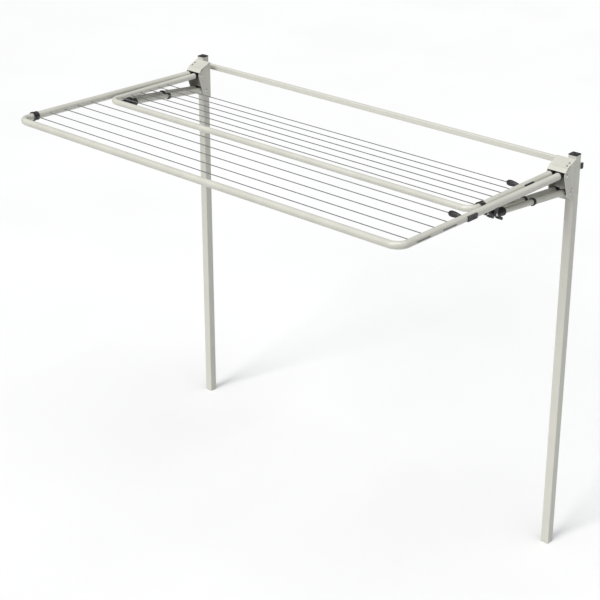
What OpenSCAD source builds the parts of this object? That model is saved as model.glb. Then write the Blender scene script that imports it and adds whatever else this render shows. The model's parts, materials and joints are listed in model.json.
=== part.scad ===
// Fold-down clothes drying rack: an outer and an inner line frame hinged on two posts.
// Millimetres. X runs along the rack, -Y points out from the posts, +Z is up.
// The origin lies midway between the two post feet, on the plane they stand on.

/* [Posts and back bar] */
// Distance between the centres of the two posts
post_spacing = 2200; // [1800:10:2600]
// Side of the square post
post_size = 40; // [40:1:60]
// Wall of the square post
post_wall = 2; // [1.5:0.5:3]
// Height of the posts
post_height = 1920; // [1900:10:2400]
// Height of the back bar's section
bar_height = 26; // [20:1:30]
// Depth of the back bar's section
bar_depth = 18; // [15:1:20]
// Height of the bar's centre line above the arm hinge
bar_above_hinge = 16; // [0:1:20]

/* [Hinges] */
// Height of the arm hinge above the post feet
hinge_height = 1850; // [1840:1:1850]
// Distance of the arm hinge from the front of the post
hinge_reach = 64; // [62:1:70]
// Distance of the strut hinge from the front of the post
strut_reach = 31; // [29:1:33]
// Drop from the arm hinge to the strut hinge
strut_drop = 86; // [84:1:88]
// Radius of the arm hinge pin
arm_pin_r = 6; // [5:0.5:7]
// Radius of the strut hinge pin
strut_pin_r = 5; // [4:0.5:6]

/* [Brackets] */
// Overall width of a bracket
bracket_width = 90; // [88:1:96]
// Thickness of the bracket sheet
sheet = 3; // [2:0.5:3]

/* [Outer frame] */
// Arm centre line from the middle of the rack
outer_half = 1094; // [1093:1:1095]
// Diameter of the frame tube
outer_tube = 32; // [30:1:32]
// Arm length from the hinge to the front rail's centre line
outer_arm = 1100; // [1000:10:1200]
// Rise of the open frame above the horizontal, in degrees
outer_tilt = 1.5; // [0:0.1:3]
// Number of line passes
outer_lines = 5; // [3:2:5]
// Distance between line passes
outer_pitch = 82; // [70:1:84]
// Distance from the front rail to the first pass
outer_gap = 86; // [80:1:95]

/* [Inner frame] */
// Arm centre line from the middle of the rack
inner_half = 1052; // [1051:1:1053]
// Diameter of the frame tube
inner_tube = 28; // [26:1:28]
// Arm length from the hinge to the front rail's centre line
inner_arm = 590; // [590:1:592]
// Rise of the open frame above the horizontal, in degrees
inner_tilt = 0.8; // [0:0.1:1.5]
// Number of line passes
inner_lines = 6; // [4:2:6]
// Distance between line passes
inner_pitch = 60; // [55:1:61]
// Distance from the front rail to the first pass
inner_gap = 64; // [62:1:70]

/* [Tubes and lines] */
// Wall of the frame tubes
tube_wall = 1.4; // [1.2:0.1:1.4]
// Extra diameter of the arm that takes the rail's bent end
sleeve_step = 3; // [3:0.1:3.2]
// Centre-line radius of the rail's corner bends
bend = 50; // [48:1:52]
// Diameter of the drying line
line_d = 4; // [3:0.5:4.5]
// Length of the corner collars
collar_len = 30; // [26:1:30]
// Straight run of rail stub between the bend and the outer frame's collar
outer_collar_gap = 20; // [16:1:20]

/* [Struts] */
// Distance from the arm hinge to the strut's seat on the arm
seat_along = 490; // [488:1:492]
// Distance of the strut's seat below the arm's centre line
seat_below = 38; // [38:0.5:39]
// Diameter of the strut's outer tube
strut_tube = 28; // [27:1:28]
// Diameter of the strut's sliding rod
strut_rod = 24; // [22:1:24]
// Length of the strut from its hinge to the end of its outer tube
strut_tube_end = 250; // [240:1:255]
// Length of rod inside the outer tube when the rack is open
rod_overlap = 65; // [55:1:70]

/* [Hidden] */

// The two frames and the two sides
OUTER = 0;
INNER = 1;
LEFT = -1;
RIGHT = 1;

// Positions shared by the whole rack
post_x = post_spacing / 2;
post_front = -post_size / 2;
hinge_y = post_front - hinge_reach;
strut_y = post_front - strut_reach;
strut_z = hinge_height - strut_drop;
bracket_outer_x = post_x + post_size / 2;
bracket_inner_x = bracket_outer_x - bracket_width;

// Values that differ between the outer and the inner frame
function half(f) = f == OUTER ? outer_half : inner_half;
function tube_d(f) = f == OUTER ? outer_tube : inner_tube;
function arm_len(f) = f == OUTER ? outer_arm : inner_arm;
function tilt(f) = f == OUTER ? outer_tilt : inner_tilt;
function passes(f) = f == OUTER ? outer_lines : inner_lines;
function pitch(f) = f == OUTER ? outer_pitch : inner_pitch;
function first_gap(f) = f == OUTER ? outer_gap : inner_gap;
// The collar joins the rail to the sleeve arm: left on the outer frame, right on the inner one
function sleeve_side(f) = f == OUTER ? LEFT : RIGHT;
function arm_d(f, side) = tube_d(f) + (side == sleeve_side(f) ? sleeve_step : 0);
function pass_at(f, i) = arm_len(f) - first_gap(f) - i * pitch(f);
function last_pass(f) = pass_at(f, passes(f) - 1);
function collar_gap(f) = f == OUTER ? outer_collar_gap : 0;

// Clearances and small sizes
run_gap = 0.06;
seat_gap = 0.05;
line_r = line_d / 2;
line_hole_r = line_r + 0.4;
collar_wall = 3;
knuckle_end = 30;
knuckle_spigot = 28;
stub_in_arm = 30;
sleeve_short = 8;
arm_start = knuckle_end;
loop_off = line_r + 0.3;
knot_r = 1.6 * line_r;

// Where a strut runs when the rack is open
function seat_y(f) = hinge_y - seat_along * cos(tilt(f)) - seat_below * sin(tilt(f));
function seat_z(f) = hinge_height + seat_along * sin(tilt(f)) - seat_below * cos(tilt(f));
function strut_len(f) = norm([seat_y(f) - strut_y, seat_z(f) - strut_z]);
function strut_rise(f) = atan2(seat_z(f) - strut_z, strut_y - seat_y(f));

// Strut head and release lever, measured from the seat pin
head_back = 60;
head_r = 18.5;
head_neck_r = 14.5;
rod_in_head = 27;
tongue_w = 13;
saddle_len = 34;
saddle_w = 28;
cheek_gap = 14;
seat_pin_r = 4;
lever_back = 33;
lever_drop = 21;
lever_w = 12;
lever_pin_r = 2.5;

cream = [0.88, 0.87, 0.82];
black = [0.10, 0.10, 0.11];
steel = [0.62, 0.62, 0.62];
cord = [0.45, 0.45, 0.46];

// A point list along an arc in the plate's plane
function arc(c, r, a0, a1, n) =
    [for (i = [0:n]) c + r * [cos(a0 + (a1 - a0) * i / n), sin(a0 + (a1 - a0) * i / n)]];

// Cylinder along X, centred on the origin or standing on it
module rod_x(r, len, mid = true) {
    rotate([0, 90, 0]) cylinder(r = r, h = len, center = mid, $fn = 64);
}

// Cylinder along -Y from y0 outwards
module rod_out(r, y0, len) {
    translate([0, -y0, 0]) rotate([90, 0, 0]) cylinder(r = r, h = len, $fn = 64);
}

// Tube along -Y from y0 outwards
module tube_out(r, wall, y0, len) {
    difference() {
        rod_out(r, y0, len);
        rod_out(r - wall, y0 - 1, len + 2);
    }
}

// A flat outline of points [outward, up] made into a plate of a thickness along X
module plate_x(points, thick) {
    rotate([90, 0, -90]) linear_extrude(thick, center = true) polygon(points);
}

// Puts parts drawn in a frame's own place, arms along -Y, on the hinge line
module on_frame(f) {
    translate([0, hinge_y, hinge_height]) rotate([-tilt(f), 0, 0]) children();
}

// Puts parts drawn along -Y from the origin on a strut's centre line
module on_strut(f, side) {
    translate([side * half(f), strut_y, strut_z]) rotate([-strut_rise(f), 0, 0]) children();
}

// Puts parts drawn round the seat pin at the strut's far end
module on_seat(f, side) {
    on_strut(f, side) translate([0, -strut_len(f), 0]) children();
}

// ---- Posts, bar and their fittings ----

post_bolt_rise = 30;
post_bolt_drop = 112;
bolt_r = 4;
bolt_hole_r = 4.3;

module post(side) {
    color(cream) translate([side * post_x, 0, 0]) difference() {
        translate([-post_size / 2, -post_size / 2, 0]) cube([post_size, post_size, post_height]);
        translate([post_wall - post_size / 2, post_wall - post_size / 2, -1])
            cube([post_size - 2 * post_wall, post_size - 2 * post_wall, post_height + 2]);
        for (z = [post_bolt_rise, -post_bolt_drop])
            translate([0, 0, hinge_height + z]) rotate([90, 0, 0])
                cylinder(r = bolt_hole_r, h = post_size, $fn = 48);
        translate([0, 0, hinge_height + bar_above_hinge]) rotate([-90, 0, 0])
            cylinder(r = bolt_hole_r, h = post_size, $fn = 48);
    }
}

cap_plug_gap = 0.2;
cap_plug = post_size - 2 * post_wall - 2 * cap_plug_gap;

module post_caps() {
    color(black) for (side = [LEFT, RIGHT]) translate([side * post_x, 0, post_height]) {
        translate([-post_size / 2 - 0.5, -post_size / 2 - 0.5, 0])
            cube([post_size + 1, post_size + 1, 4]);
        translate([-cap_plug / 2, -cap_plug / 2, -14]) cube([cap_plug, cap_plug, 15]);
    }
}

bar_z = hinge_height + bar_above_hinge;
bar_wall = 1.6;

module back_bar() {
    bar_len = 2 * bracket_outer_x;
    color(cream) difference() {
        translate([-bar_len / 2, post_size / 2, bar_z - bar_height / 2])
            cube([bar_len, bar_depth, bar_height]);
        translate([-bar_len / 2 - 1, post_size / 2 + bar_wall, bar_z - bar_height / 2 + bar_wall])
            cube([bar_len + 2, bar_depth - 2 * bar_wall, bar_height - 2 * bar_wall]);
        for (side = [LEFT, RIGHT])
            translate([side * post_x, 0, bar_z]) rotate([-90, 0, 0])
                cylinder(r = bolt_hole_r, h = post_size, $fn = 48);
    }
}

module bar_end_caps() {
    plug_y = bar_depth - 2 * bar_wall - 2 * cap_plug_gap;
    plug_z = bar_height - 2 * bar_wall - 2 * cap_plug_gap;
    color(black) for (side = [LEFT, RIGHT])
        translate([side * bracket_outer_x, post_size / 2 + bar_depth / 2, bar_z]) {
            translate([side * 2, 0, 0])
                cube([4, bar_depth - 0.5, bar_height + 1], center = true);
            translate([-side * 7, 0, 0]) cube([15, plug_y, plug_z], center = true);
        }
}

module bar_bolts() {
    wall_span = bar_depth + post_wall;
    color(steel) for (side = [LEFT, RIGHT])
        translate([side * post_x, post_size / 2 - post_wall, bar_z]) rotate([-90, 0, 0]) {
            translate([0, 0, -8]) cylinder(r = bolt_r, h = wall_span + 9, $fn = 48);
            translate([0, 0, -5]) cylinder(r = 7.5, h = 5, $fn = 6);
            translate([0, 0, wall_span]) cylinder(r = 8, h = 1.5, $fn = 48);
            translate([0, 0, wall_span + 1.5]) cylinder(r = 6.5, h = 4, $fn = 48);
        }
}

// ---- Brackets and hinge pins ----

plate_top = 56;
plate_bottom = -131;
nose_r = 18;
side_screw = [15, -73];

// Side plate seen from the side, as [outward from the post's front, above the hinge]
side_outline = concat(
    [[0, plate_bottom], [0, plate_top], [8, plate_top]],
    arc([hinge_reach, 0], nose_r, 66, -14, 12),
    arc([strut_reach + 6, -strut_drop], nose_r, -14, -70, 8),
    [[18, plate_bottom + 8]]
);

// Hood: the sheet folded over the top of the two side plates, and its two screws
hood_line = [[4, plate_top], [58, 34], [79, 17]];
hood_screws = [30, 48];
hood_slope = atan2(hood_line[0][1] - hood_line[1][1], hood_line[1][0] - hood_line[0][0]);
function hood_z(out) = hood_line[0][1] - (out - hood_line[0][0]) * tan(hood_slope);

module hood_strip(a, b) {
    dir = (b - a) / norm(b - a);
    nor = [dir[1], -dir[0]] * (dir[0] > 0 ? 1 : -1);
    plate_x([a, b, b + sheet * nor, a + sheet * nor], bracket_width);
}

module bracket(side) {
    mid_x = (bracket_outer_x + bracket_inner_x) / 2;
    color(cream) translate([side * mid_x, post_front, hinge_height]) difference() {
        union() {
            translate([-bracket_width / 2, -sheet, plate_bottom])
                cube([bracket_width, sheet, plate_top - plate_bottom]);
            for (s = [-1, 1])
                translate([s * (bracket_width - sheet) / 2, 0, 0]) plate_x(side_outline, sheet);
            hood_strip(hood_line[0], hood_line[1]);
            hood_strip(hood_line[1], hood_line[2]);
            translate([0, -hood_line[1][0], hood_line[1][1]]) rod_x(sheet / 2, bracket_width);
        }
        translate([0, -hinge_reach, 0]) rod_x(arm_pin_r, bracket_width + 2);
        translate([0, -strut_reach, -strut_drop]) rod_x(strut_pin_r, bracket_width + 2);
        for (z = [post_bolt_rise, -post_bolt_drop])
            translate([side * (post_x - mid_x), 1, z]) rotate([90, 0, 0])
                cylinder(r = bolt_hole_r, h = sheet + 2, $fn = 48);
    }
}

module bracket_bolts() {
    mid_x = (bracket_outer_x + bracket_inner_x) / 2;
    color(steel) for (side = [LEFT, RIGHT]) {
        // Two bolts through the back plate into the post
        for (z = [post_bolt_rise, -post_bolt_drop])
            translate([side * post_x, post_front, hinge_height + z]) rotate([90, 0, 0]) {
                translate([0, 0, -14]) cylinder(r = bolt_r, h = 20, $fn = 48);
                translate([0, 0, sheet]) cylinder(r = 7, h = 1.5, $fn = 48);
                translate([0, 0, sheet + 1.5]) cylinder(r = 6.5, h = 5, $fn = 6);
            }
        // A screw in the outer side plate and two in the hood
        translate([side * bracket_outer_x, post_front - side_screw[0], hinge_height + side_screw[1]])
            translate([side * 1.2, 0, 0]) rod_x(5, 2.4);
        for (h = hood_screws)
            translate([side * (bracket_outer_x - 12), post_front - h, hinge_height + hood_z(h)])
                rotate([hood_slope, 0, 0]) translate([0, 0, seat_gap]) cylinder(r = 4, h = 2.6, $fn = 32);
    }
}

// A pin across both side plates with a domed head outside each
module pivot_pin(r, y, z) {
    for (side = [LEFT, RIGHT]) translate([side * (bracket_outer_x - bracket_width / 2), y, z]) {
        rod_x(r, bracket_width);
        for (s = [-1, 1]) translate([s * (bracket_width / 2 + 1.25), 0, 0]) rod_x(r + 2.5, 2.5);
    }
}

module arm_pivot_pins() { color(steel) pivot_pin(arm_pin_r, hinge_y, hinge_height); }
module strut_pivot_pins() { color(steel) pivot_pin(strut_pin_r, strut_y, strut_z); }

// Spacer tube between two X positions on a pin
module spacer(side, x0, x1, y, z, pin_r) {
    translate([side * (x0 + x1) / 2, y, z]) difference() {
        rod_x(pin_r + 3.5, x1 - x0);
        rod_x(pin_r, x1 - x0 + 2);
    }
}

spacer_gap = 0.4;
eye_half = 12;

module pivot_spacers() {
    plate_in = bracket_outer_x - sheet - spacer_gap / 2;
    plate_out = bracket_inner_x + sheet + spacer_gap / 2;
    color(black) for (side = [LEFT, RIGHT])
        for (p = [[hinge_y, hinge_height, arm_pin_r], [strut_y, strut_z, strut_pin_r]]) {
            spacer(side, outer_half + eye_half + spacer_gap, plate_in, p[0], p[1], p[2]);
            spacer(side, inner_half + eye_half + spacer_gap,
                outer_half - eye_half - spacer_gap, p[0], p[1], p[2]);
            spacer(side, plate_out, inner_half - eye_half - spacer_gap, p[0], p[1], p[2]);
        }
}

// ---- Folding frames ----

// Front rail with both corner bends; the stub on the sleeve side enters the arm
module rail(f) {
    r = tube_d(f) / 2;
    straight = half(f) - bend;
    color(cream) on_frame(f) translate([0, -arm_len(f), 0]) {
        difference() {
            rod_x(r, 2 * straight);
            rod_x(r - tube_wall, 2 * straight + 2);
        }
        for (side = [LEFT, RIGHT]) translate([side * straight, bend, 0])
            rotate([0, 0, side > 0 ? -90 : -180]) rotate_extrude(angle = 90, $fn = 96)
                translate([bend, 0]) difference() {
                    circle(r = r, $fn = 64);
                    circle(r = r - tube_wall, $fn = 64);
                }
        translate([sleeve_side(f) * half(f), 0, 0]) difference() {
            tube_out(r, tube_wall, -bend - collar_gap(f) - stub_in_arm, collar_gap(f) + stub_in_arm);
            translate([0, first_gap(f), 0]) rod_x(line_hole_r, 4 * r);
        }
    }
}

// Arm tube with its line holes; the sleeve arm starts behind the collar's front
module arm(f, side) {
    r = arm_d(f, side) / 2;
    front = arm_len(f) - bend - (side == sleeve_side(f) ? collar_gap(f) + sleeve_short : 0);
    color(cream) on_frame(f) translate([side * half(f), 0, 0]) difference() {
        tube_out(r, tube_wall, arm_start, front - arm_start);
        for (i = [0:passes(f) - 1]) translate([0, -pass_at(f, i), 0])
            rod_x(line_hole_r, 4 * r);
    }
}

// Moulded collar over the joint of rail and sleeve arm, with a raised rim and a wide mouth at its front
module collar(f) {
    arm_r = arm_d(f, sleeve_side(f)) / 2;
    rail_r = tube_d(f) / 2;
    front = arm_len(f) - bend - collar_gap(f);
    color(black) on_frame(f) translate([sleeve_side(f) * half(f), 0, 0]) difference() {
        union() {
            rod_out(arm_r + collar_wall, front - collar_len, collar_len);
            rod_out(arm_r + collar_wall + 1.5, front - 7, 7);
        }
        rod_out(arm_r, front - collar_len - 1, collar_len - sleeve_short + 1);
        rod_out(rail_r, front - collar_len - 1, collar_len + 3);
        rod_out(rail_r + 3, front - 4, 5);
        translate([0, -pass_at(f, 0), 0]) rod_x(line_hole_r, 4 * arm_r);
    }
}

// Moulded hinge eye plugged into the end of each arm
module knuckles(f) {
    color(black) on_frame(f) for (side = [LEFT, RIGHT]) translate([side * half(f), 0, 0]) {
        r = arm_d(f, side) / 2;
        difference() {
            union() {
                rod_x(13, 2 * eye_half);
                translate([-eye_half, -22, -11]) cube([2 * eye_half, 22, 22]);
                rod_out(r, 20, knuckle_end - 20);
                rod_out(r - tube_wall, knuckle_end - 1, knuckle_spigot);
            }
            rod_x(arm_pin_r + run_gap, 3 * eye_half);
        }
    }
}

// The line starts at a knot on pass 0 and is made fast at the last pass, always on the right
function start_side(f) = f == OUTER ? LEFT : RIGHT;

// Pass 0 runs through the collar, so its knot sits on the collar's wall
function knot_lift(f, side, i) = side == start_side(f) && i == 0 ? collar_wall - 1 : 0;

// X of a pass's two ends: the outside of each arm, where the loops take over
function pass_end(f, side, i) = half(f) + arm_d(f, side) / 2 + loop_off + knot_lift(f, side, i);

// A pass is a separate straight length from one arm's outside to the other's
module line_pass(f, i) {
    translate([-pass_end(f, LEFT, i), -pass_at(f, i), 0])
        rod_x(line_r, pass_end(f, LEFT, i) + pass_end(f, RIGHT, i), mid = false);
}

module line_passes(f) {
    color(cord) on_frame(f) for (i = [0:passes(f) - 1]) line_pass(f, i);
}

// A loop lies along the outside of an arm from pass i to pass i + 1
module loop(f, side, i) {
    translate([side * pass_end(f, side, 1), -pass_at(f, i), 0]) {
        rotate([-90, 0, 0]) cylinder(r = line_r, h = pitch(f), $fn = 24);
        sphere(r = line_r, $fn = 24);
        translate([0, pitch(f), 0]) sphere(r = line_r, $fn = 24);
    }
}

module knot(f, side, i) {
    translate([side * pass_end(f, side, i), -pass_at(f, i), 0]) sphere(r = knot_r, $fn = 24);
}

module line_loops(f) {
    start = start_side(f);
    front = arm_len(f) - bend;
    color(cord) on_frame(f) difference() {
        union() {
            for (i = [0:passes(f) - 2]) loop(f, (i % 2 == 0) ? -start : start, i);
            knot(f, start, 0);
            knot(f, RIGHT, passes(f) - 1);
        }
        for (i = [0:passes(f) - 1]) line_pass(f, i);
        for (side = [LEFT, RIGHT]) translate([side * half(f), 0, 0]) {
            rod_out(tube_d(f) / 2, 0, front);
            rod_out(arm_d(f, side) / 2, 0, front - collar_gap(f) - sleeve_short);
        }
        translate([sleeve_side(f) * half(f), 0, 0])
            rod_out(arm_d(f, sleeve_side(f)) / 2 + collar_wall,
                front - collar_gap(f) - collar_len, collar_len);
    }
}

tens_len = 62;
tens_r = 13;

// Teardrop line tensioner on the inside of the right arm, threaded on the last pass
module tensioner(f) {
    r = arm_d(f, RIGHT) / 2;
    nose = 5;
    color(black) on_frame(f) translate([half(f) - r - 0.2, -last_pass(f), 0])
        rotate([0, -90, 0]) rotate_extrude($fn = 64) polygon(concat(
            [[line_r, 0], [nose, 0]],
            [for (i = [1:8]) [nose + (tens_r - nose) * sin(90 * i / 8), (tens_len - 16) * i / 8]],
            [for (i = [1:6]) [line_r + 2 + (tens_r - line_r - 2) * cos(90 * i / 6),
                tens_len - 16 + 16 * sin(90 * i / 6)]],
            [[line_r, tens_len]]
        ));
}

plate_len = 62;
plate_h = 22;

// Locking plate on the outside of the right arm, behind the tensioner
module tensioner_plate(f) {
    r = arm_d(f, RIGHT) / 2;
    centre = last_pass(f) - 24;
    color(black) on_frame(f) translate([half(f), -centre, 0]) difference() {
        translate([2, -plate_len / 2, -plate_h / 2]) cube([r + 1.4, plate_len, plate_h]);
        rod_out(r, -plate_len, 2 * plate_len);
        translate([0, centre - last_pass(f), 0]) rod_x(2 * line_r + 0.4, 6 * r);
        if (f == OUTER) translate([0, 4, -3]) rod_x(3.5, 6 * r);
    }
}

// Saddle under the arm that carries the strut's seat pin between two cheeks
module saddles(f) {
    color(black) on_frame(f) for (side = [LEFT, RIGHT])
        translate([side * half(f), -seat_along, 0]) {
            r = arm_d(f, side) / 2;
            difference() {
                union() {
                    translate([-saddle_w / 2, -13, -r - 4])
                        cube([saddle_w, saddle_len - 8, r - 1]);
                    for (s = [-1, 1]) translate([s * (cheek_gap + saddle_w) / 4, 0, 0]) {
                        cheek_t = (saddle_w - cheek_gap) / 2;
                        plate_x([[-9, -r - 3], [9, -r - 3], [9, -seat_below], [-9, -seat_below]],
                            cheek_t);
                        translate([0, 0, -seat_below]) rod_x(9, cheek_t);
                    }
                }
                rod_out(r, -saddle_len, 2 * saddle_len);
                translate([0, 0, -seat_below]) rod_x(seat_pin_r, saddle_w + 2);
            }
        }
}

module saddle_pins(f) {
    color(steel) on_frame(f) for (side = [LEFT, RIGHT])
        translate([side * half(f), -seat_along, -seat_below]) {
            rod_x(seat_pin_r, saddle_w);
            for (s = [-1, 1]) translate([s * (saddle_w / 2 + 0.9), 0, 0]) rod_x(6, 1.8);
        }
}

// ---- Telescopic struts ----

strut_wall = 1.5;
strut_tube_start = 20;

module strut_tube(f, side) {
    color(cream) on_strut(f, side)
        tube_out(strut_tube / 2, strut_wall, strut_tube_start, strut_tube_end - strut_tube_start);
}

module strut_knuckle(f, side) {
    r = strut_tube / 2;
    color(black) on_strut(f, side) difference() {
        union() {
            rod_x(11.5, 2 * eye_half);
            translate([-eye_half, -16, -9]) cube([2 * eye_half, 16, 18]);
            rod_out(r, 14, strut_tube_start - 14);
            rod_out(r - strut_wall, strut_tube_start - 1, 24);
        }
        rod_x(strut_pin_r + run_gap, 3 * eye_half);
    }
}

strut_collar_len = 16;

// Guide collar on the tube's mouth; its front wall runs on the rod
module strut_collar(f, side) {
    r = strut_tube / 2;
    back = strut_tube_end - strut_collar_len + 6;
    color(black) on_strut(f, side) difference() {
        union() {
            rod_out(r + 1.5, back, strut_collar_len);
            rod_out(r + 3, back + 8, strut_collar_len - 10);
        }
        rod_out(r, back - 1, strut_tube_end - back + 1);
        rod_out(strut_rod / 2 + run_gap, back - 1, strut_collar_len + 2);
    }
}

module strut_rod(f, side) {
    rod_start = strut_tube_end - rod_overlap;
    rod_end = strut_len(f) - head_back + rod_in_head;
    color(cream) on_strut(f, side) tube_out(strut_rod / 2, strut_wall, rod_start, rod_end - rod_start);
}

// Moulded head: a flared socket for the rod, a tongue with an open seat for the saddle's pin,
// and two ears for the release lever. Drawn with -Y outwards from the seat pin.
module strut_head(f, side) {
    ear_t = 4;
    color(black) on_seat(f, side) difference() {
        union() {
            rotate([-90, 0, 0]) rotate_extrude($fn = 64) polygon([
                [0, 24], [10, 24], [head_neck_r, 32], [head_r - 1, head_back - 8],
                [head_r, head_back - 6], [head_r, head_back], [0, head_back]
            ]);
            plate_x([[-30, -10], [3, -10], [8, -6], [9, 1], [7, 6], [-30, 8]], tongue_w);
            for (s = [-1, 1]) translate([s * (lever_w / 2 + 0.5 + ear_t / 2), 0, 0]) {
                plate_x([[-lever_back - 8, -10], [-lever_back + 8, -8],
                    [-lever_back + 5, -lever_drop], [-lever_back - 5, -lever_drop]], ear_t);
                translate([0, lever_back, -lever_drop]) rod_x(5, ear_t);
            }
        }
        // Socket of the rod
        translate([0, head_back - rod_in_head, 0]) rotate([-90, 0, 0])
            cylinder(r = strut_rod / 2, h = rod_in_head + 1, $fn = 64);
        // Open seat: a round hollow with its mouth towards the arm
        rod_x(seat_pin_r + 0.5, tongue_w + 4);
        plate_x([[4.5, 0], [7, 20], [-20, 20], [-4.4, -1]], tongue_w + 4);
        // Lever pin's bores and the room for the lever's boss between the ears
        translate([0, lever_back, -lever_drop]) rod_x(lever_pin_r + run_gap, 40);
        translate([0, lever_back, -lever_drop]) rod_x(6, lever_w + 1);
    }
}

// Finger lever with moulded trunnions, hanging below the head's wide end
module release_lever(f, side) {
    color(black) on_seat(f, side) translate([0, lever_back, -lever_drop]) {
        rod_x(5, lever_w);
        rod_x(lever_pin_r, lever_w + 8);
        plate_x(concat(
            [[3, 4], [-24, -1.5], [-27, -4]],
            arc([-22, -8.5], 5.5, 190, 320, 8),
            [[-11, -8.5], [-4, -8], [2, -4.5]]
        ), lever_w);
    }
}

post(LEFT);  // post_left
post(RIGHT);  // post_right
post_caps();
back_bar();
bar_end_caps();
bar_bolts();
bracket(LEFT);  // bracket_left
bracket(RIGHT);  // bracket_right
bracket_bolts();
arm_pivot_pins();
strut_pivot_pins();
pivot_spacers();

rail(OUTER);  // outer_rail
arm(OUTER, LEFT);  // outer_left_arm
arm(OUTER, RIGHT);  // outer_right_arm
collar(OUTER);  // outer_corner_collar
knuckles(OUTER);  // outer_arm_knuckles
line_passes(OUTER);  // outer_line_passes
line_loops(OUTER);  // outer_line_loops
tensioner(OUTER);  // outer_line_tensioner
tensioner_plate(OUTER);  // outer_tensioner_plate
saddles(OUTER);  // outer_strut_saddles
saddle_pins(OUTER);  // outer_saddle_pins

rail(INNER);  // inner_rail
arm(INNER, LEFT);  // inner_left_arm
arm(INNER, RIGHT);  // inner_right_arm
collar(INNER);  // inner_corner_collar
knuckles(INNER);  // inner_arm_knuckles
line_passes(INNER);  // inner_line_passes
line_loops(INNER);  // inner_line_loops
tensioner(INNER);  // inner_line_tensioner
tensioner_plate(INNER);  // inner_tensioner_plate
saddles(INNER);  // inner_strut_saddles
saddle_pins(INNER);  // inner_saddle_pins

strut_tube(OUTER, LEFT);  // outer_left_strut_tube
strut_knuckle(OUTER, LEFT);  // outer_left_strut_knuckle
strut_collar(OUTER, LEFT);  // outer_left_strut_collar
strut_rod(OUTER, LEFT);  // outer_left_strut_rod
strut_head(OUTER, LEFT);  // outer_left_strut_head
release_lever(OUTER, LEFT);  // outer_left_release_lever
strut_tube(OUTER, RIGHT);  // outer_right_strut_tube
strut_knuckle(OUTER, RIGHT);  // outer_right_strut_knuckle
strut_collar(OUTER, RIGHT);  // outer_right_strut_collar
strut_rod(OUTER, RIGHT);  // outer_right_strut_rod
strut_head(OUTER, RIGHT);  // outer_right_strut_head
release_lever(OUTER, RIGHT);  // outer_right_release_lever
strut_tube(INNER, LEFT);  // inner_left_strut_tube
strut_knuckle(INNER, LEFT);  // inner_left_strut_knuckle
strut_collar(INNER, LEFT);  // inner_left_strut_collar
strut_rod(INNER, LEFT);  // inner_left_strut_rod
strut_head(INNER, LEFT);  // inner_left_strut_head
release_lever(INNER, LEFT);  // inner_left_release_lever
strut_tube(INNER, RIGHT);  // inner_right_strut_tube
strut_knuckle(INNER, RIGHT);  // inner_right_strut_knuckle
strut_collar(INNER, RIGHT);  // inner_right_strut_collar
strut_rod(INNER, RIGHT);  // inner_right_strut_rod
strut_head(INNER, RIGHT);  // inner_right_strut_head
release_lever(INNER, RIGHT);  // inner_right_release_lever
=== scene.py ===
"""Looks of the fold-down drying rack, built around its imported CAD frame.

Metres, +Z up, -Y out from the posts.
"""

import json
import math

import bmesh
import bpy
from mathutils import Matrix, Vector


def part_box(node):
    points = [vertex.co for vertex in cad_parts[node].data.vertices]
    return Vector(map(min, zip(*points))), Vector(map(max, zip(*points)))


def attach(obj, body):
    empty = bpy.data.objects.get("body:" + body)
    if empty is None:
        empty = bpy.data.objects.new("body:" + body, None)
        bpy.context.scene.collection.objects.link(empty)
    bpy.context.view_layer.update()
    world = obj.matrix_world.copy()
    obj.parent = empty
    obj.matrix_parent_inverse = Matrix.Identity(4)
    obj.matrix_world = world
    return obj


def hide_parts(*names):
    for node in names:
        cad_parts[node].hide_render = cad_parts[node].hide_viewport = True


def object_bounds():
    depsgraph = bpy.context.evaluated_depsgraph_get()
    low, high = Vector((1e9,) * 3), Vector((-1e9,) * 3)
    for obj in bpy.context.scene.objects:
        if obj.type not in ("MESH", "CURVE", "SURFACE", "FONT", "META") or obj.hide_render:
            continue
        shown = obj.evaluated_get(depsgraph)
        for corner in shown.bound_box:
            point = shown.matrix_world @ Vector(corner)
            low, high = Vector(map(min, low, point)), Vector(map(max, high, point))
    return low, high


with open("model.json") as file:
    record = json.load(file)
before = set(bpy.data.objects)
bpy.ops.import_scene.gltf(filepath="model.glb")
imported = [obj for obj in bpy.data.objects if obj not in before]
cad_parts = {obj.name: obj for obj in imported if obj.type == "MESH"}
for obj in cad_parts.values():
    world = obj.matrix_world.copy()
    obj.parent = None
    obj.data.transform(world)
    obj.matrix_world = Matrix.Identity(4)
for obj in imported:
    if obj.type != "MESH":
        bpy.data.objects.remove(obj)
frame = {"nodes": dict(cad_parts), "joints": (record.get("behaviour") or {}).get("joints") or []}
cad_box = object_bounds()
joints = {j["name"]: j for j in frame["joints"]}

MM = 0.001
LEFT, RIGHT = "left", "right"
SIDES = (LEFT, RIGHT)
FRAMES = ("outer", "inner")
PLAIN_ARM = {"outer": RIGHT, "inner": LEFT}
SLEEVE_ARM = {"outer": LEFT, "inner": RIGHT}


# ---- Reading the frame ----

def welded(node, matrix=Matrix()):
    """A CAD node's mesh with its doubled vertices joined, in the matrix's own space."""
    bm = bmesh.new()
    bm.from_mesh(frame["nodes"][node].data)
    bmesh.ops.remove_doubles(bm, verts=bm.verts, dist=1e-6)
    bm.transform(matrix.inverted())
    return bm


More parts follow.
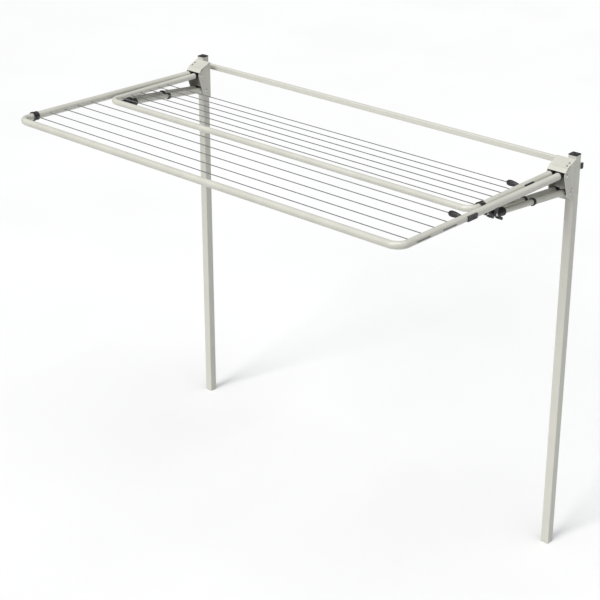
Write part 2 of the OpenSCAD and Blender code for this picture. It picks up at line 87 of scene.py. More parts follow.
def solids(node, matrix=Matrix()):
    """Lowest and highest corner of each separate solid of a CAD node, sorted by X, then Y, then Z."""
    bm = welded(node, matrix)
    left = set(bm.verts)
    found = []
    while left:
        first = left.pop()
        island = [first]
        for v in island:
            for e in v.link_edges:
                other = e.other_vert(v)
                if other in left:
                    left.discard(other)
                    island.append(other)
        lo = Vector(min(v.co[i] for v in island) for i in range(3))
        hi = Vector(max(v.co[i] for v in island) for i in range(3))
        found.append((lo, hi))
    bm.free()
    return sorted(found, key=lambda b: (round(b[0].x, 4), round(b[0].y, 4), round(b[0].z, 4)))


def arm_radius(f, side):
    lo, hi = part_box(f"{f}_{side}_arm")
    return (hi.x - lo.x) / 2


def frame_space(f):
    """The space of a folding frame: origin on its hinge, arms along -Y."""
    hinge = Vector(joints[f + "_fold"]["pos_m"])
    lo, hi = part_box(f + "_rail")
    r = arm_radius(f, PLAIN_ARM[f])
    tilt = math.atan2(hi.z - r - hinge.z, hinge.y - lo.y - r)
    return Matrix.Translation(hinge) @ Matrix.Rotation(-tilt, 4, "X")


def strut_space(f, side):
    """The space of a strut: origin on its hinge, the strut along -Y."""
    pivot = Vector(joints[f"{f}_{side}_strut_swing"]["pos_m"])
    slide = joints[f"{f}_{side}_strut_slide"]["axis"]
    return Matrix.Translation(pivot) @ Matrix.Rotation(-math.atan2(slide[2], -slide[1]), 4, "X")


FRAME_SPACE = {f: frame_space(f) for f in FRAMES}
STRUT_SPACE = {(f, s): strut_space(f, s) for f in FRAMES for s in SIDES}
ALONG = Matrix.Rotation(math.radians(90), 4, "X")    # turns +Z into -Y
ACROSS = Matrix.Rotation(math.radians(90), 4, "Y")   # turns +Z into +X


# ---- Camera, light and floor ----

def make_camera():
    data = bpy.data.cameras.new("camera")
    data.sensor_width = 36.0
    data.lens = 90.0
    data.shift_y = -0.15
    cam = bpy.data.objects.new("camera", data)
    cam.location = (4.158, -5.191, 4.075)
    cam.rotation_euler = (math.radians(90 - 22.15), 0, math.radians(41.53))
    bpy.context.scene.collection.objects.link(cam)
    bpy.context.scene.camera = cam


def sun(name, place, target, colour, **settings):
    data = bpy.data.lights.new(name, "SUN")
    data.color = colour
    for key, value in settings.items():
        setattr(data, key, value)
    obj = bpy.data.objects.new(name, data)
    obj.location = place
    obj.rotation_euler = (Vector(target) - Vector(place)).to_track_quat("-Z", "Y").to_euler()
    bpy.context.scene.collection.objects.link(obj)


def make_light():
    lo, hi = cad_box
    middle = (lo + hi) / 2
    warm = (1.0, 0.985, 0.96)
    cool = (0.97, 0.985, 1.0)
    key_place = middle + Vector((-0.25, -3.4, 2.9))
    top_place = middle + Vector((0.4, -0.3, 3.3))
    sun("key", key_place, middle, warm, energy=2.3, angle=math.radians(24))
    sun("top", top_place, middle, cool, energy=2.5, angle=math.radians(40))
    world = bpy.data.worlds.new("studio")
    world.use_nodes = True
    background = world.node_tree.nodes["Background"]
    background.inputs["Color"].default_value = (1, 1, 1, 1)
    background.inputs["Strength"].default_value = 0.12
    bpy.context.scene.world = world
    bpy.context.scene.view_settings.view_transform = "Standard"


def make_floor():
    bm = bmesh.new()
    bmesh.ops.create_grid(bm, x_segments=8, y_segments=8, size=30)
    mesh = bpy.data.meshes.new("floor")
    bm.to_mesh(mesh)
    bm.free()
    floor = bpy.data.objects.new("floor", mesh)
    floor.location.z = -1 * MM
    bpy.context.scene.collection.objects.link(floor)
    mesh.materials.append(floor_material())


# ---- Materials ----

class Nodes:
    """Short names for building one Principled material's nodes."""

    def __init__(self, name):
        self.material = bpy.data.materials.new(name)
        self.material.use_nodes = True
        self.tree = self.material.node_tree
        self.shader = self.tree.nodes["Principled BSDF"]
        self.place = self.tree.nodes.new("ShaderNodeTexCoord").outputs["Object"]

    def set(self, **values):
        for key, value in values.items():
            self.shader.inputs[key.replace("_", " ")].default_value = value

    def link(self, out, name):
        self.tree.links.new(out, self.shader.inputs[name])

    def add(self, kind, inputs=(), **settings):
        node = self.tree.nodes.new("ShaderNode" + kind)
        for key, value in settings.items():
            setattr(node, key, value)
        for key, value in dict(inputs).items():
            if isinstance(value, bpy.types.NodeSocket):
                self.tree.links.new(value, node.inputs[key])
            else:
                node.inputs[key].default_value = value
        return node

    def stretched(self, scale):
        return self.add("Mapping", {"Vector": self.place, "Scale": scale}).outputs["Vector"]

    def noise(self, scale, detail=3.0, roughness=0.5, vector=None):
        inputs = {"Vector": vector or self.place, "Scale": scale, "Detail": detail, "Roughness": roughness}
        return self.add("TexNoise", inputs).outputs["Fac"]

    def voronoi(self, scale):
        return self.add("TexVoronoi", {"Vector": self.place, "Scale": scale}).outputs["Distance"]

    def span(self, value, low, high, start=0.3, end=0.7):
        inputs = {"Value": value, "From Min": start, "From Max": end, "To Min": low, "To Max": high}
        return self.add("MapRange", inputs).outputs["Result"]

    def mix(self, amount, a, b):
        node = self.add("Mix", data_type="RGBA")
        for socket, value in ((node.inputs[0], amount), (node.inputs[6], a), (node.inputs[7], b)):
            if isinstance(value, bpy.types.NodeSocket):
                self.tree.links.new(value, socket)
            else:
                socket.default_value = value
        return node.outputs[2]

    def worn_edges(self, start, end):
        """0 on flat surfaces, 1 on the sharpest outer edges."""
        pointed = self.add("NewGeometry").outputs["Pointiness"]
        return self.span(pointed, 0.0, 1.0, start, end)

    def bump(self, height, depth, strength, under=None):
        inputs = {"Height": height, "Distance": depth, "Strength": strength}
        if under is not None:
            inputs["Normal"] = under
        return self.add("Bump", inputs).outputs["Normal"]


def grey(level):
    return (level, level, level, 1)


def powder_coat():
    """Cream powder coat: an even, slightly orange-peeled film, a touch yellower where it lies thick."""
    m = Nodes("cream_powder_coat")
    m.set(Roughness=0.4, IOR=1.5, Coat_Weight=0.12, Coat_Roughness=0.22)
    cloud = m.noise(9.0, 4.0)
    colour = m.mix(m.span(cloud, 0.0, 1.0), (0.47, 0.468, 0.42, 1), (0.52, 0.518, 0.465, 1))
    dust = m.noise(60.0, 6.0, 0.7)
    colour = m.mix(m.span(dust, 0.0, 0.25, 0.55, 0.8), colour, (0.38, 0.375, 0.335, 1))
    colour = m.mix(m.worn_edges(0.52, 0.62), colour, (0.60, 0.598, 0.545, 1))
    m.link(colour, "Base Color")
    m.link(m.span(m.noise(140.0, 3.0), 0.33, 0.5), "Roughness")
    peel = m.bump(m.noise(900.0, 2.0), 0.05 * MM, 0.5)
    m.link(m.bump(m.noise(55.0, 1.0), 0.12 * MM, 0.35, peel), "Normal")
    return m.material


def black_plastic():
    """Black moulded nylon with a fine spark-eroded grain and greyer, rubbed edges."""
    m = Nodes("black_plastic")
    m.set(Roughness=0.5, IOR=1.5)
    cloud = m.noise(30.0, 4.0)
    colour = m.mix(m.span(cloud, 0.0, 1.0), (0.008, 0.008, 0.009, 1), (0.017, 0.017, 0.019, 1))
    colour = m.mix(m.worn_edges(0.53, 0.66), colour, (0.06, 0.06, 0.063, 1))
    m.link(colour, "Base Color")
    m.link(m.span(m.noise(260.0, 4.0), 0.4, 0.58), "Roughness")
    m.link(m.bump(m.noise(2400.0, 2.0), 0.05 * MM, 0.7), "Normal")
    return m.material


def zinc_steel():
    """Bright zinc plate with faint turning marks and dull spots."""
    m = Nodes("zinc_steel")
    m.set(Metallic=1.0, Roughness=0.34)
    spots = m.voronoi(420.0)
    colour = m.mix(m.span(spots, 0.0, 1.0, 0.1, 0.7), (0.52, 0.52, 0.51, 1), (0.6, 0.6, 0.585, 1))
    m.link(colour, "Base Color")
    m.link(m.span(m.noise(300.0, 5.0), 0.26, 0.44), "Roughness")
    m.link(m.bump(m.noise(1500.0, 2.0, vector=m.stretched((6, 1, 1))), 0.03 * MM, 0.5), "Normal")
    return m.material


def drying_line():
    """Grey vinyl-covered line: the twisted core shows through as a faint rope-like ripple."""
    m = Nodes("drying_line")
    m.set(Roughness=0.42, IOR=1.5)
    cloud = m.noise(40.0, 3.0)
    colour = m.mix(m.span(cloud, 0.0, 1.0), (0.10, 0.10, 0.102, 1), (0.15, 0.15, 0.152, 1))
    m.link(colour, "Base Color")
    twist = {"Vector": m.place, "Scale": 110.0, "Distortion": 0.4}
    wave = m.add("TexWave", twist, bands_direction="DIAGONAL")
    m.link(m.bump(wave.outputs["Fac"], 0.15 * MM, 0.5), "Normal")
    m.link(m.span(m.noise(300.0), 0.36, 0.5), "Roughness")
    return m.material


def floor_material():
    m = Nodes("floor")
    m.set(Roughness=0.75, Specular_IOR_Level=0.2)
    m.link(m.mix(m.span(m.noise(0.7, 2.0), 0.0, 1.0), grey(0.73), grey(0.755)), "Base Color")
    return m.material


MATERIALS = {
    "cream_powder_coat": powder_coat(),
    "black_plastic": black_plastic(),
    "zinc_steel": zinc_steel(),
    "drying_line": drying_line(),
}


# ---- Mesh building ----

EASED = 0.4 * MM        # how far a cut tube's ends are rounded
CORNER_STEPS = 5        # faces round a section's corner
BEVELLED_SHARP = 50     # degrees past which a bevelled piece keeps a crease


def add_ring_faces(bm, rings, closed_along):
    """Quads between rings of vertices; a ring of one vertex is a pole."""
    pairs = list(zip(rings, rings[1:]))
    if closed_along:
        pairs.append((rings[-1], rings[0]))
    for a, b in pairs:
        n = max(len(a), len(b))
        for i in range(n):
            j = (i + 1) % n
            corners = [a[i % len(a)], a[j % len(a)], b[j % len(b)], b[i % len(b)]]
            distinct = list(dict.fromkeys(corners))
            if len(distinct) > 2:
                bm.faces.new(distinct)


def add_lathe(bm, profile, matrix, steps=48, closed=False):
    """Turns (radius, height) points about the matrix's Z axis. A closed profile makes a ring-shaped body."""
    rings = []
    for r, h in profile:
        if r < 1e-7:
            rings.append([bm.verts.new(matrix @ Vector((0, 0, h)))])
            continue
        turns = [2 * math.pi * i / steps for i in range(steps)]
        points = [Vector((r * math.cos(t), r * math.sin(t), h)) for t in turns]
        rings.append([bm.verts.new(matrix @ p) for p in points])
    add_ring_faces(bm, rings, closed)


def rounded_rect(w, h, r):
    """Outline of a w by h rectangle with corners of radius r, round the origin."""
    points = []
    for cx, cy, start in ((1, 1, 0), (-1, 1, 90), (-1, -1, 180), (1, -1, 270)):
        for i in range(CORNER_STEPS + 1):
            t = math.radians(start + 90 * i / CORNER_STEPS)
            points.append((cx * (w / 2 - r) + r * math.cos(t), cy * (h / 2 - r) + r * math.sin(t)))
    return points


def add_loft(bm, sections, matrix):
    """Joins outlines of equal length, given as (points, height), and closes both ends."""
    rings = [[bm.verts.new(matrix @ Vector((x, y, z))) for x, y in points] for points, z in sections]
    add_ring_faces(bm, rings, False)
    bm.faces.new(list(reversed(rings[0])))
    bm.faces.new(rings[-1])


def add_box_tube(bm, w, h, wall, corner, z0, z1, matrix):
    """Rectangular hollow section along the matrix's Z, with rounded corners and eased ends."""

    def outline(shrink):
        return rounded_rect(w - 2 * shrink, h - 2 * shrink, max(corner - shrink, 0.3 * MM))

    steps = [(0, z0 + EASED), (0, z1 - EASED), (EASED, z1), (wall, z1), (wall, z0), (EASED, z0)]
    rings = [[bm.verts.new(matrix @ Vector((x, y, z))) for x, y in outline(s)] for s, z in steps]
    add_ring_faces(bm, rings, True)


def rounded_path(points, radius, steps):
    """A polyline whose corners are arcs of the given radius."""
    path = [Vector(points[0])]
    for before, corner, after in zip(points, points[1:], points[2:]):
        before, corner, after = Vector(before), Vector(corner), Vector(after)
        a = (before - corner).normalized()
        b = (after - corner).normalized()
        half = a.angle(b) / 2
        middle = corner + (a + b).normalized() * (radius / math.sin(half))
        start = (corner + a * (radius / math.tan(half)) - middle).normalized()
        end = (corner + b * (radius / math.tan(half)) - middle).normalized()
        path += [middle + radius * start.slerp(end, i / steps) for i in range(steps + 1)]
    path.append(Vector(points[-1]))
    return path


def sweep_frames(path):
    """A matrix at each point of a path, Z along it, turned as little as possible from one to the next."""
    frames = []
    side = None
    for i, p in enumerate(path):
        ahead = (path[min(i + 1, len(path) - 1)] - path[max(i - 1, 0)]).normalized()
        if side is None:
            side = ahead.orthogonal().normalized()
        side = (side - ahead * side.dot(ahead)).normalized()
        up = ahead.cross(side)
        turn = Matrix((side, up, ahead)).transposed().to_4x4()
        frames.append(Matrix.Translation(p) @ turn)
    return frames


def add_sweep(bm, path, radius, steps, wall=None, edge=EASED):
    """A round rod along a path, or a tube if it has a wall."""
    frames = sweep_frames(path)
    turns = [(math.cos(2 * math.pi * i / steps), math.sin(2 * math.pi * i / steps)) for i in range(steps)]

    def ring(matrix, r, slip=0.0):
        return [bm.verts.new(matrix @ Vector((r * c, r * s, slip))) for c, s in turns]

    rings = [ring(frames[0], radius, edge)]
    rings += [ring(m, radius) for m in frames[1:-1]]
    rings += [ring(frames[-1], radius, -edge), ring(frames[-1], radius - edge)]
    if wall:
        rings += [ring(frames[-1], radius - wall)]
        rings += [ring(m, radius - wall) for m in reversed(frames[1:-1])]
        rings += [ring(frames[0], radius - wall), ring(frames[0], radius - edge)]
        add_ring_faces(bm, rings, True)
    else:
        rings.insert(0, ring(frames[0], radius - edge))
        add_ring_faces(bm, rings, False)
        bm.faces.new(list(reversed(rings[0])))
        bm.faces.new(rings[-1])


def applied(obj):
    """Bakes an object's modifiers into its mesh."""
    seen = obj.evaluated_get(bpy.context.evaluated_depsgraph_get())
    mesh = bpy.data.meshes.new_from_object(seen)
    obj.modifiers.clear()
    old = obj.data
    obj.data = mesh
    bpy.data.meshes.remove(old)
    mesh.name = obj.name


def link_mesh(name, bm):
    bmesh.ops.recalc_face_normals(bm, faces=bm.faces)
    mesh = bpy.data.meshes.new(name)
    bm.to_mesh(mesh)
    bm.free()
    obj = bpy.data.objects.new(name, mesh)
    bpy.context.scene.collection.objects.link(obj)
    return obj


def piece(name, bm, body, slot, nodes, space=Matrix(), bevel=0.0, steps=2, cut=None, sharp=32):
    """Makes a piece of a mesh drawn in a space: cuts, bevels and shades it, and gives it body and finish."""
    bm.transform(space)
    obj = link_mesh(name, bm)
    if cut is not None:
        cut.transform(space)
        cutter = link_mesh(name + "_cutter", cut)
        boolean = obj.modifiers.new("holes", "BOOLEAN")
        boolean.object = cutter
        boolean.solver = "EXACT"
        applied(obj)
        bpy.data.objects.remove(cutter)
    if bevel:
        modifier = obj.modifiers.new("bevel", "BEVEL")
        modifier.width = bevel
        modifier.segments = steps
        modifier.limit_method = "ANGLE"
        modifier.angle_limit = math.radians(sharp)
        applied(obj)
    obj.data.shade_smooth()
    obj.data.set_sharp_from_angle(angle=math.radians(BEVELLED_SHARP if bevel else sharp))
    if bevel:
        modifier = obj.modifiers.new("flat faces", "WEIGHTED_NORMAL")
        modifier.keep_sharp = True
        applied(obj)
    obj.data.materials.clear()
    obj.data.materials.append(MATERIALS[slot])
    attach(obj, body)
    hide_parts(*nodes)


def cad_piece(node, body, slot, bevel, steps=2):
    """A CAD node's own shape with its edges eased."""
    bm = welded(node)
    bmesh.ops.dissolve_limit(bm, angle_limit=math.radians(0.6), verts=bm.verts, edges=bm.edges)
    piece(node + "_form", bm, body, slot, [node], bevel=bevel, steps=steps)


def centre(box):
    return (box[0] + box[1]) / 2


def add_rivet(bm, box, head, overhang):
    """A pin along X over a solid's box, with a domed and dimpled head at each end."""
    lo, hi = box
    r = (hi.z - lo.z) / 2
    shaft = r - overhang
    near = [(0, 0.5 * MM), (0.2 * r, 0.45 * MM), (0.3 * r, 0.05 * MM), (0.55 * r, 0.25 * MM),
            (0.8 * r, 0.3 * head), (0.95 * r, 0.6 * head), (r, 0.85 * head), (r, head), (shaft, head)]
    length = hi.x - lo.x
    profile = near + [(radius, length - h) for radius, h in reversed(near)]
    middle = centre(box)
    add_lathe(bm, profile, Matrix.Translation((lo.x, middle.y, middle.z)) @ ACROSS)


# ---- The stand ----

POST_WALL = 2 * MM
BAR_WALL = 1.6 * MM
SECTION_CORNER = 3 * MM
PLUG_PLAY = 0.2 * MM


def make_posts():
    for side in SIDES:
        lo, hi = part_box("post_" + side)
        foot = Matrix.Translation(((lo.x + hi.x) / 2, (lo.y + hi.y) / 2, lo.z))
        bm = bmesh.new()
        add_box_tube(bm, hi.x - lo.x, hi.y - lo.y, POST_WALL, SECTION_CORNER, 0, hi.z - lo.z, foot)
        piece(f"post_{side}_section", bm, "stand", "cream_powder_coat", [f"post_{side}"])


def make_back_bar():
    lo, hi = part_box("back_bar")
    end = Matrix.Translation((lo.x, (lo.y + hi.y) / 2, (lo.z + hi.z) / 2)) @ ACROSS
    bm = bmesh.new()
    add_box_tube(bm, hi.z - lo.z, hi.y - lo.y, BAR_WALL, SECTION_CORNER, 0, hi.x - lo.x, end)
    piece("back_bar_section", bm, "stand", "cream_powder_coat", ["back_bar"])


def add_end_cap(bm, w, h, plug_w, plug_h, plate, plug, matrix):
    """A moulded cap along the matrix's Z: its plug below 0, its crowned plate with a sunk line above."""
    corner = 3.4 * MM
    inset = min(w, h) / 8

    def ring(shrink, z, a=w, b=h):
        return rounded_rect(a - 2 * shrink, b - 2 * shrink, max(corner - shrink * 0.6, 0.8 * MM)), z

    sections = [ring(1.4 * MM, -plug, plug_w, plug_h), ring(0, 1.2 * MM - plug, plug_w, plug_h),
                ring(0, 0, plug_w, plug_h)]
    sections += [ring(0.3 * MM, 0), ring(0, 0.3 * MM), ring(0, plate - 1.5 * MM),
                 ring(0.4 * MM, plate - 0.8 * MM), ring(1.3 * MM, plate - 0.35 * MM)]
    sections += [ring(0.8 * inset, plate - 0.1 * MM), ring(0.9 * inset, plate - 0.5 * MM),
                 ring(1.1 * inset, plate - 0.5 * MM), ring(1.2 * inset, plate - 0.1 * MM),
                 ring(1.6 * inset, plate)]
    add_loft(bm, sections, matrix)


def make_post_caps():
    bm = bmesh.new()
    plate = 4 * MM
    overhang = 1 * MM
    wall_and_play = POST_WALL + PLUG_PLAY
    for lo, hi in solids("post_caps"):
        w = hi.x - lo.x
        plug_w = w - overhang - 2 * wall_and_play
        top = Matrix.Translation(((lo.x + hi.x) / 2, (lo.y + hi.y) / 2, hi.z - plate))
        add_end_cap(bm, w, w, plug_w, plug_w, plate, hi.z - lo.z - plate, top)
    piece("post_cap_mouldings", bm, "stand", "black_plastic", ["post_caps"])


def make_bar_caps():
    bm = bmesh.new()
    bar_lo, bar_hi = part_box("back_bar")
    wall_and_play = BAR_WALL + PLUG_PLAY
    plug_w = bar_hi.z - bar_lo.z - 2 * wall_and_play
    plug_h = bar_hi.y - bar_lo.y - 2 * wall_and_play
    for lo, hi in solids("bar_end_caps"):
        outward = 1 if lo.x > 0 else -1
        edge = bar_hi.x if outward > 0 else bar_lo.x
        tip = hi.x if outward > 0 else lo.x
        inner = lo.x if outward > 0 else hi.x
        turn = Matrix.Rotation(math.radians(90 * outward), 4, "Y")
        place = Matrix.Translation((edge, (lo.y + hi.y) / 2, (lo.z + hi.z) / 2)) @ turn
        plate, plug = abs(tip - edge), abs(inner - edge)
        add_end_cap(bm, hi.z - lo.z, hi.y - lo.y, plug_w, plug_h, plate, plug, place)
    piece("bar_cap_mouldings", bm, "stand", "black_plastic", ["bar_end_caps"])


def make_hinges():
    for side in SIDES:
        cad_piece(f"bracket_{side}", "stand", "cream_powder_coat", bevel=0.7 * MM)
    cad_piece("bracket_bolts", "stand", "zinc_steel", bevel=0.5 * MM)
    cad_piece("bar_bolts", "stand", "zinc_steel", bevel=0.5 * MM)
    for node in ("arm_pivot_pins", "strut_pivot_pins"):
        bm = bmesh.new()
        for box in solids(node):
            add_rivet(bm, box, 2.5 * MM, 2.5 * MM)
        piece(node + "_riveted", bm, "stand", "zinc_steel", [node])


def make_spacers():
    """Plain rings on the pins, each with one groove round its middle."""
    bm = bmesh.new()
    wall, edge, groove = 3.5 * MM, 0.5 * MM, 0.6 * MM
    for box in solids("pivot_spacers"):
        lo, hi = box
        length, r = hi.x - lo.x, (hi.z - lo.z) / 2
        profile = [(r - wall, 0), (r - edge, 0), (r, edge), (r, 0.42 * length), (r - groove, 0.45 * length),
                   (r - groove, 0.55 * length), (r, 0.58 * length), (r, length - edge), (r - edge, length),
                   (r - wall, length)]
        middle = centre(box)
        add_lathe(bm, profile, Matrix.Translation((lo.x, middle.y, middle.z)) @ ACROSS, closed=True)
    piece("pivot_spacer_rings", bm, "stand", "black_plastic", ["pivot_spacers"])


# ---- The folding frames ----

TUBE_WALL = 1.4 * MM
HOLE_PLAY = 0.4 * MM
LINE_TURN = 2.6 * MM


def pass_boxes(f):
    """The line's passes in the frame's space, from the front rail towards the hinge."""
    return sorted(solids(f + "_line_passes", FRAME_SPACE[f]), key=lambda box: box[0].y)


def line_holes(f, half):
    """Cutters for the line's holes through both arms."""
    bm = bmesh.new()
    reach = 30 * MM
    for lo, hi in pass_boxes(f):
        r = (hi.z - lo.z) / 2 + HOLE_PLAY
        for s in (-1, 1):
            start = Matrix.Translation((s * half - reach, (lo.y + hi.y) / 2, 0)) @ ACROSS
            add_lathe(bm, [(0, 0), (r, 0), (r, 2 * reach), (0, 2 * reach)], start, steps=24)
    bmesh.ops.recalc_face_normals(bm, faces=bm.faces)
    return bm


def make_tubes(f):
    """The bent tube that is rail and plain arm in one, and the wider sleeve arm that takes its end."""
    space = FRAME_SPACE[f]
    body = f + "_frame"
    plain, sleeve = PLAIN_ARM[f], SLEEVE_ARM[f]
    arm_lo, arm_hi = solids(f"{f}_{plain}_arm", space)[0]
    rail_lo, rail_hi = solids(f + "_rail", space)[0]
    r = arm_radius(f, plain)
    x = (arm_lo.x + arm_hi.x) / 2
    front = rail_lo.y + r
    bend = arm_lo.y - front
    corners = [(x, arm_hi.y, 0), (x, front, 0), (-x, front, 0), (-x, rail_hi.y, 0)]
    bm = bmesh.new()
    add_sweep(bm, rounded_path(corners, bend, 20), r, 48, TUBE_WALL)
    piece(f + "_bent_tube", bm, body, "cream_powder_coat", [f + "_rail", f"{f}_{plain}_arm"], space,
          cut=line_holes(f, abs(x)))
    lo, hi = solids(f"{f}_{sleeve}_arm", space)[0]
    bm = bmesh.new()
    path = [Vector((-x, hi.y + (lo.y - hi.y) * i / 8, 0)) for i in range(9)]
    add_sweep(bm, path, (hi.x - lo.x) / 2, 48, TUBE_WALL)
    piece(f + "_sleeve_tube", bm, body, "cream_powder_coat", [f"{f}_{sleeve}_arm"], space,
          cut=line_holes(f, abs(x)))


def make_collar(f):
    """The moulded corner collar: grip grooves, then a raised rim round a deep mouth at the front."""
    space = FRAME_SPACE[f]
    lo, hi = solids(f + "_corner_collar", space)[0]
    arm_r, rail_r = arm_radius(f, SLEEVE_ARM[f]), arm_radius(f, PLAIN_ARM[f])
    rim, length = (hi.x - lo.x) / 2, hi.y - lo.y
    skin = arm_r + 3 * MM
    rim_start = length - 7 * MM
    sleeve_start = length - 8 * MM
    grooves, depth = 5, 0.7 * MM
    pitch = (rim_start - 4 * MM) / grooves
    profile = [(arm_r, 0), (skin - 1.2 * MM, 0), (skin - 0.35 * MM, 0.35 * MM), (skin, 1.2 * MM)]
    for i in range(grooves):
        z = 2 * MM + i * pitch
        profile += [(skin, z), (skin - depth, z + 0.25 * pitch), (skin - depth, z + 0.45 * pitch),
                    (skin, z + 0.7 * pitch)]
    profile += [(skin, rim_start - 0.5 * MM), (skin + 0.4 * MM, rim_start),
                (rim - 0.3 * MM, rim_start + 0.3 * MM), (rim, rim_start + 0.9 * MM),
                (rim, length - 0.9 * MM), (rim - 0.25 * MM, length - 0.25 * MM), (rim - 0.9 * MM, length)]
    mouth, bore, mouth_end = rail_r + 3 * MM, rail_r + 0.1 * MM, length - 4 * MM
    profile += [(mouth + 0.4 * MM, length), (mouth, length - 0.4 * MM), (mouth, mouth_end),
                (bore, mouth_end), (bore, sleeve_start), (arm_r, sleeve_start)]
    middle = (lo.x + hi.x) / 2
    bm = bmesh.new()
    add_lathe(bm, profile, Matrix.Translation((middle, hi.y, 0)) @ ALONG, 64, closed=True)
    piece(f + "_collar_moulding", bm, f + "_frame", "black_plastic", [f + "_corner_collar"], space,
          cut=line_holes(f, abs(middle)))


def add_knot(bm, place, thick):
    """A small pulled-tight overhand knot round the line's end, as a closed three-lobed turn."""
    count, sides = 72, 10
    lobe, depth = 0.85 * MM, 0.9 * MM
    points = []
    for i in range(count):
        t = 2 * math.pi * i / count
        wide = lobe * (math.sin(t) + 2 * math.sin(2 * t))
        deep = lobe * (math.cos(t) - 2 * math.cos(2 * t))
        points.append(place + Vector((depth * -math.sin(3 * t), wide, deep)))
    turns = [2 * math.pi * k / sides for k in range(sides)]
    rings = []
    for i, p in enumerate(points):
        ahead = (points[(i + 1) % count] - points[i - 1]).normalized()
        side = ahead.cross(p - place).normalized()
        up = ahead.cross(side)
        rings.append([bm.verts.new(p + thick * (side * math.cos(t) + up * math.sin(t))) for t in turns])
    add_ring_faces(bm, rings, True)


def make_line(f):
    """One length of line: knotted at its start, laced to and fro through both arms, knotted at its end."""
    boxes = pass_boxes(f)
    r = (boxes[0][1].z - boxes[0][0].z) / 2
    start_left = f == "outer"
    loop_lo, loop_hi = boxes[1][0].x, boxes[1][1].x
    points = []
    for i, (lo, hi) in enumerate(boxes):
        y = (lo.y + hi.y) / 2
        left = (lo.x if i == 0 else loop_lo, y, 0)
        right = (hi.x if i == 0 else loop_hi, y, 0)
        points += [left, right] if (i % 2 == 0) == start_left else [right, left]
    bm = bmesh.new()
    add_sweep(bm, rounded_path(points, LINE_TURN, 6), r, 14, edge=0.5 * MM)
    for x, y, _ in (points[0], points[-1]):
        add_knot(bm, Vector((x, y, 0)), 0.62 * r)
    nodes = [f + "_line_passes", f + "_line_loops"]
    piece(f + "_drying_line", bm, f + "_frame", "drying_line", nodes, FRAME_SPACE[f], sharp=60)


def cut_flutes(bm, length, solid_r):
    """Finger flutes along a barrel on the Z axis, fading out at both ends. Points within solid_r stay."""
    flutes, depth = 12, 0.9 * MM
    fade_start, fade_span = 0.25, 0.62
    for v in bm.verts:
        around = math.atan2(v.co.y, v.co.x)
        reach = math.hypot(v.co.x, v.co.y)
        along = min(max((v.co.z / length - fade_start) / fade_span, 0), 1)
        if reach > solid_r:
            shrink = depth * max(0.0, math.sin(math.pi * along)) * max(0.0, math.cos(flutes * around)) ** 2
            v.co.x *= (reach - shrink) / reach
            v.co.y *= (reach - shrink) / reach


def make_tensioner(f):
    """The teardrop that grips the last pass: a narrow nose at the arm, a fluted barrel, a rounded end."""
    space = FRAME_SPACE[f]
    lo, hi = solids(f + "_line_tensioner", space)[0]
    r, length = (hi.z - lo.z) / 2, hi.x - lo.x
    bore = pass_boxes(f)[0][1].z + 0.1 * MM
    nose, edge, dome = 5 * MM, 0.6 * MM, 16 * MM
    barrel = length - dome
    tip = bore + 2 * MM
    profile = [(bore, 0), (nose - edge, 0), (nose, edge)]
    for i in range(1, 19):
        swell = math.sin(math.pi / 2 * i / 18)
        profile.append((nose + (r - nose) * swell, edge + (barrel - edge) * i / 18))
    for i in range(1, 9):
        t = math.pi / 2 * i / 8
        profile.append((tip + (r - tip) * math.cos(t), barrel + dome * math.sin(t)))
    profile.append((bore, length - 0.4 * MM))
    bm = bmesh.new()
    add_lathe(bm, profile, Matrix(), 96, closed=True)
    cut_flutes(bm, length, bore + 1.5 * MM)
    outward = Matrix.Rotation(math.radians(-90), 4, "Y")
    bm.transform(Matrix.Translation((hi.x, (lo.y + hi.y) / 2, 0)) @ outward)
    nodes = [f + "_line_tensioner"]
    piece(f + "_tensioner_moulding", bm, f + "_frame", "black_plastic", nodes, space, sharp=50)


def make_frame(f):
    """One folding frame: tubes, collar, line and tensioner, then the moulded fittings and their pins."""
    body = f + "_frame"
    make_tubes(f)
    make_collar(f)
    make_line(f)
    make_tensioner(f)
    cad_piece(f + "_arm_knuckles", body, "black_plastic", bevel=1.0 * MM, steps=3)
    cad_piece(f + "_tensioner_plate", body, "black_plastic", bevel=0.6 * MM)
    cad_piece(f + "_strut_saddles", body, "black_plastic", bevel=0.8 * MM, steps=3)
    bm = bmesh.new()
    for box in solids(f + "_saddle_pins", FRAME_SPACE[f]):
        add_rivet(bm, box, 1.8 * MM, 2 * MM)
    piece(f + "_saddle_pins_riveted", bm, body, "zinc_steel", [f + "_saddle_pins"], FRAME_SPACE[f])


# ---- The telescopic struts ----

STRUT_WALL = 1.5 * MM


def straight_tube(name, node, body, space):
    lo, hi = solids(node, space)[0]
    bm = bmesh.new()
    path = [Vector(((lo.x + hi.x) / 2, hi.y + (lo.y - hi.y) * i / 4, 0)) for i in range(5)]
    add_sweep(bm, path, (hi.x - lo.x) / 2, 48, STRUT_WALL)
    piece(name, bm, body, "cream_powder_coat", [node], space)


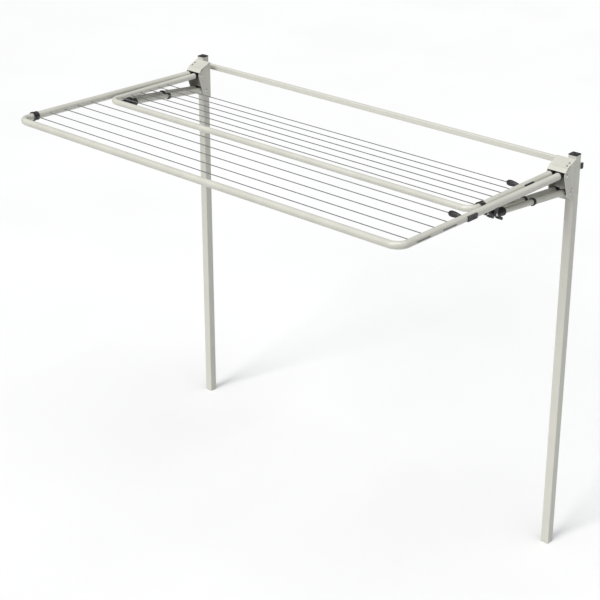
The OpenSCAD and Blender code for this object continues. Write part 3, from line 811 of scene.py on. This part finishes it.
def make_strut_collar(name, space, body):
    """The collar at a strut tube's mouth: a grooved skirt on the tube, then a wide lip round the rod."""
    node = name + "_strut_collar"
    lo, hi = solids(node, space)[0]
    tube_lo, tube_hi = solids(name + "_strut_tube", space)[0]
    rod_lo, rod_hi = solids(name + "_strut_rod", space)[0]
    r, length = (hi.x - lo.x) / 2, hi.y - lo.y
    tube_r, rod_r = (tube_hi.x - tube_lo.x) / 2, (rod_hi.x - rod_lo.x) / 2 + 0.1 * MM
    mouth = hi.y - tube_lo.y
    skirt, lip = r - 1.5 * MM, 8 * MM
    profile = [(tube_r, 0), (skirt - 0.5 * MM, 0), (skirt, 0.5 * MM), (skirt, 0.3 * lip),
               (skirt - 0.4 * MM, 0.36 * lip), (skirt - 0.4 * MM, 0.5 * lip), (skirt, 0.56 * lip),
               (skirt, lip - 0.3 * MM), (skirt + 0.3 * MM, lip)]
    profile += [(r - 0.8 * MM, lip + 0.2 * MM), (r, lip + 1 * MM), (r, lip + 4.6 * MM),
                (r - 0.5 * MM, lip + 5.6 * MM), (skirt, lip + 6.2 * MM)]
    profile += [(skirt, length - 0.8 * MM), (skirt - 0.8 * MM, length), (rod_r + 0.6 * MM, length),
                (rod_r, length - 0.6 * MM), (rod_r, mouth), (tube_r, mouth)]
    bm = bmesh.new()
    add_lathe(bm, profile, Matrix.Translation(((lo.x + hi.x) / 2, hi.y, 0)) @ ALONG, 64, closed=True)
    piece(name + "_collar_moulding", bm, body, "black_plastic", [node], space)


def make_strut(f, side):
    name = f"{f}_{side}"
    space = STRUT_SPACE[f, side]
    straight_tube(name + "_outer_tube", name + "_strut_tube", name + "_strut", space)
    cad_piece(name + "_strut_knuckle", name + "_strut", "black_plastic", bevel=0.9 * MM, steps=3)
    make_strut_collar(name, space, name + "_strut")
    straight_tube(name + "_sliding_rod", name + "_strut_rod", name + "_rod", space)
    cad_piece(name + "_strut_head", name + "_rod", "black_plastic", bevel=0.7 * MM)
    cad_piece(name + "_release_lever", name + "_lever", "black_plastic", bevel=0.8 * MM, steps=3)


# ---- Scene ----

make_camera()
make_light()
make_floor()
make_posts()
make_back_bar()
make_post_caps()
make_bar_caps()
make_hinges()
make_spacers()
for f in FRAMES:
    make_frame(f)
    for side in SIDES:
        make_strut(f, side)
